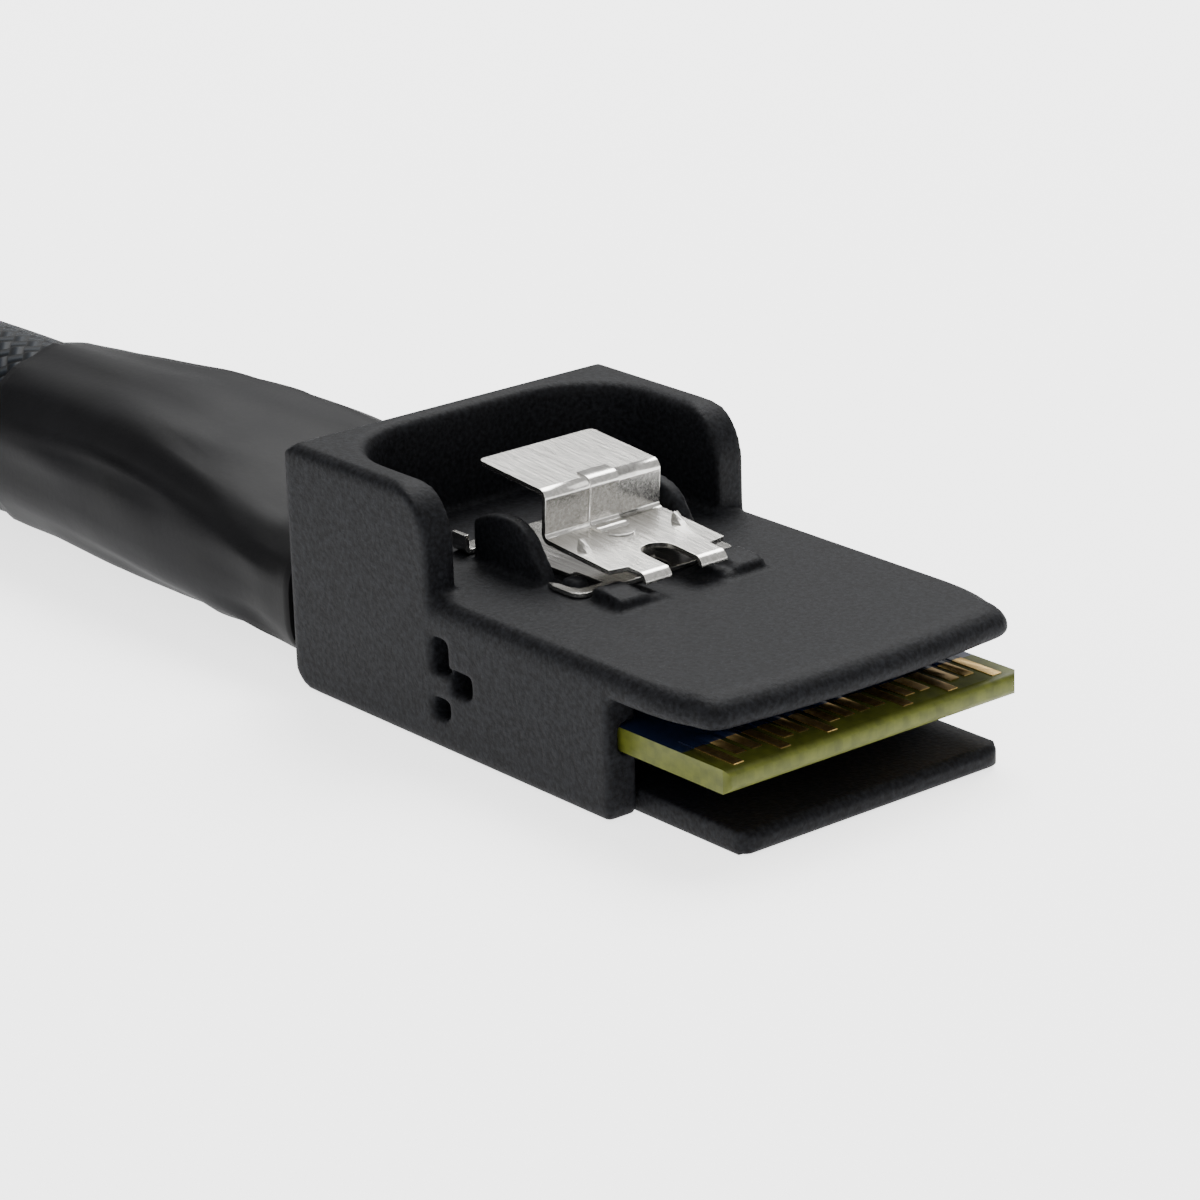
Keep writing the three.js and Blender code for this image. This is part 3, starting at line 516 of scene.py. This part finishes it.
# Hard gold over nickel, plated: warm, bright and nearly smooth, with faint probe scuffs
gold, gold_surface = new_material("hard_gold_plate", Metallic=1, Roughness=0.25)
place = add_node(gold, "ShaderNodeTexCoord")
scuffs = add_node(gold, "ShaderNodeTexNoise", {"Scale": 1 / (0.25 * mm), "Detail": 4},
                  {"Vector": place.outputs["Object"]})
gold_tint = ramp(gold, scuffs.outputs["Fac"], (0.3, "d9b36a"), (0.7, "ecca85"))
gold_gloss = add_node(gold, "ShaderNodeMapRange", {"To Min": 0.3, "To Max": 0.45},
                      {"Value": scuffs.outputs["Fac"]})
wire_up(gold, gold_surface, Base_Color=gold_tint.outputs["Color"],
        Roughness=gold_gloss.outputs["Result"])

# Photo-imaged solder mask, dark blue: glossy, slightly uneven where it has levelled
mask, mask_surface = new_material("solder_mask", Roughness=0.3, IOR=1.55)
place = add_node(mask, "ShaderNodeTexCoord")
levelling = add_node(mask, "ShaderNodeTexNoise", {"Scale": 1 / (1.2 * mm), "Detail": 3},
                     {"Vector": place.outputs["Object"]})
mask_tint = ramp(mask, levelling.outputs["Fac"], (0.3, "16203a"), (0.7, "1d2b4c"))
wire_up(mask, mask_surface, Base_Color=mask_tint.outputs["Color"])

for prefix, seat in seats.items():
    card = dressed(prefix + "paddle_card", prefix + "contact_card", fixed, "card",
                   laminate, gold, mask)
    cut_at = seat @ Vector((mask_front, 0, 0))
    cut_normal = seat.to_3x3() @ Vector((1, 0, 0))
    bpy.ops.object.mode_set(mode="EDIT")
    bpy.ops.mesh.select_all(action="SELECT")
    bpy.ops.mesh.bisect(plane_co=cut_at, plane_no=cut_normal)
    bpy.ops.object.mode_set(mode="OBJECT")
    unseat = seat.inverted()
    for face in card.data.polygons:
        at = unseat @ face.center
        outside = at.z > card_top + pad_clear or at.z < card_low - pad_clear
        broad = abs(face.normal.z) > broad_face
        face.material_index = bare
        if at.x < mask_front and (broad or outside):
            face.material_index = masked
        elif outside:
            face.material_index = plated


# Wires in the plugs: eight foil pairs and two ribbons of sideband wires a plug, in clear-grey
# fluoropolymer jackets over foil, with a smooth gloss.
jacket, jacket_surface = new_material("fluoropolymer_jacket", Roughness=0.3, IOR=1.36)
place = add_node(jacket, "ShaderNodeTexCoord")
foil = add_node(jacket, "ShaderNodeTexNoise", {"Scale": 1 / (0.9 * mm), "Detail": 3},
                {"Vector": place.outputs["Object"]})
jacket_tint = ramp(jacket, foil.outputs["Fac"], (0.3, "8e939c"), (0.7, "b9bdc6"))
wire_up(jacket, jacket_surface, Base_Color=jacket_tint.outputs["Color"])

# Moulded blocks: polyamide hot melt, poured round the wires at low pressure. It sets to a dark
# amber, waxy and slightly uneven.
hot_melt, melt_surface = new_material("polyamide_hot_melt", Roughness=0.4, IOR=1.5)
place = add_node(hot_melt, "ShaderNodeTexCoord")
swirl = add_node(hot_melt, "ShaderNodeTexNoise",
                 {"Scale": 1 / (2 * mm), "Detail": 4, "Distortion": 0.8},
                 {"Vector": place.outputs["Object"]})
melt_tint = ramp(hot_melt, swirl.outputs["Fac"], (0.3, "2a2620"), (0.7, "3a342b"))
melt_relief = add_node(hot_melt, "ShaderNodeBump", {"Strength": 0.3, "Distance": 0.05 * mm},
                       {"Height": swirl.outputs["Fac"]})
wire_up(hot_melt, melt_surface, Base_Color=melt_tint.outputs["Color"],
        Normal=melt_relief.outputs["Normal"])

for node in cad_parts:
    if "wire_pair" in node or "signal_band" in node:
        finish_node(node, jacket)
    elif node.endswith("melt_block"):
        finish_node(node, hot_melt)


# Floor and light: white paper that runs out of the picture, a large softbox behind the plug, a weak
# one in front and an even white room. The paper glows so that it comes out nearly white.
floor_size = 4
floor_level = -0.02 * mm
paper_glow = 2.2
key_watts, fill_watts = 10, 2
room_strength = 0.65
bpy.ops.mesh.primitive_plane_add(size=floor_size, location=(0, 0, floor_level))
floor = bpy.context.object
floor.name = "floor"
paper, paper_surface = new_material("white_paper", Roughness=0.9, Emission_Strength=paper_glow)
paper_surface.inputs["Base Color"].default_value = hex_colour("f4f4f4")
paper_surface.inputs["Emission Color"].default_value = hex_colour("ffffff")
floor.data.materials.append(paper)


def softbox(name, place, target, size, watts):
    light = bpy.data.lights.new(name, "AREA")
    light.shape = "RECTANGLE"
    light.size, light.size_y = size
    light.energy = watts
    lamp = bpy.data.objects.new(name, light)
    lamp.location = place
    lamp.rotation_euler = (Vector(target) - Vector(place)).to_track_quat("-Z", "Y").to_euler()
    bpy.context.collection.objects.link(lamp)


softbox("key_light", place=(-0.25, 0.35, 0.6), target=(0, 0, 0), size=(0.5, 0.5),
        watts=key_watts)
softbox("fill_light", place=(0.5, -0.5, 0.5), target=(0, 0, 0), size=(0.6, 0.6),
        watts=fill_watts)
world = bpy.data.worlds.new("studio")
bpy.context.scene.world = world
world.use_nodes = True
room = world.node_tree.nodes["Background"]
room.inputs["Color"].default_value = hex_colour("ffffff")
room.inputs["Strength"].default_value = room_strength
